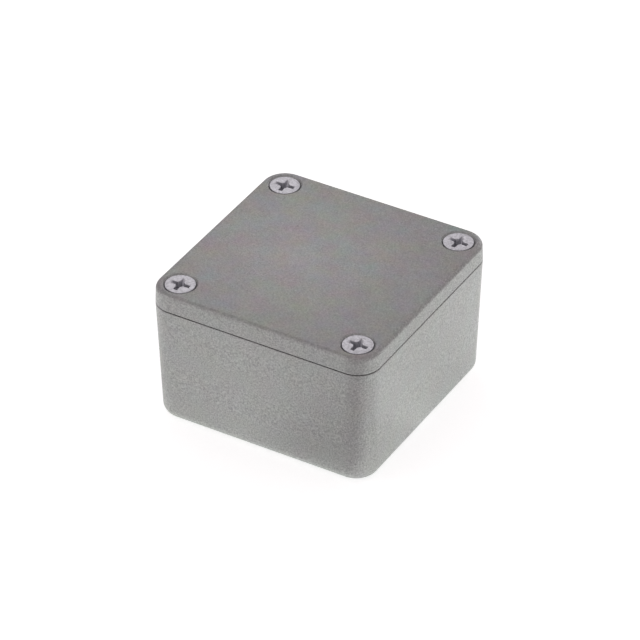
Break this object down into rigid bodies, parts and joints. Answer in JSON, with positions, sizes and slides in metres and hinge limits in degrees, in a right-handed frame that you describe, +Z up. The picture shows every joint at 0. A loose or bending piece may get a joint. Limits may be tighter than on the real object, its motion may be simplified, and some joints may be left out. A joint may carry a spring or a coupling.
{
  "type": "die cast aluminium box",
  "caption": "Small square die cast aluminium box with rounded corners and a lid held at its corners by countersunk cross-recess screws.",
  "frame": {"origin": "centre of the base's underside, on the surface that the box stands on", "axes": "+Z up through the lid, +X to the right and -Y to the front, square to the walls"},
  "size_m": [0.0504, 0.0504, 0.031],
  "materials": {
    "cast_aluminium": "bare pressure-cast aluminium, tumbled to a fine matte grain",
    "screw_steel": "bright zinc-plated steel"
  },
  "bodies": {
    "base": {"base": "cast_aluminium"},
    "lid": {"lid": "cast_aluminium"},
    "screw_front_left": {"screw_front_left": "screw_steel"},
    "screw_front_right": {"screw_front_right": "screw_steel"},
    "screw_back_right": {"screw_back_right": "screw_steel"},
    "screw_back_left": {"screw_back_left": "screw_steel"}
  },
  "joints": [
    {"name": "lid_lift", "type": "slide", "parent": "base", "child": "lid", "axis": [0, 0, 1], "range_m": [0, 0.04]},
    {"name": "screw_front_left_out", "type": "slide", "parent": "lid", "child": "screw_front_left", "axis": [0, 0, 1], "range_m": [0, 0.0135]},
    {"name": "screw_front_right_out", "type": "slide", "parent": "lid", "child": "screw_front_right", "axis": [0, 0, 1], "range_m": [0, 0.0135]},
    {"name": "screw_back_right_out", "type": "slide", "parent": "lid", "child": "screw_back_right", "axis": [0, 0, 1], "range_m": [0, 0.0135]},
    {"name": "screw_back_left_out", "type": "slide", "parent": "lid", "child": "screw_back_left", "axis": [0, 0, 1], "range_m": [0, 0.0135]}
  ]
}
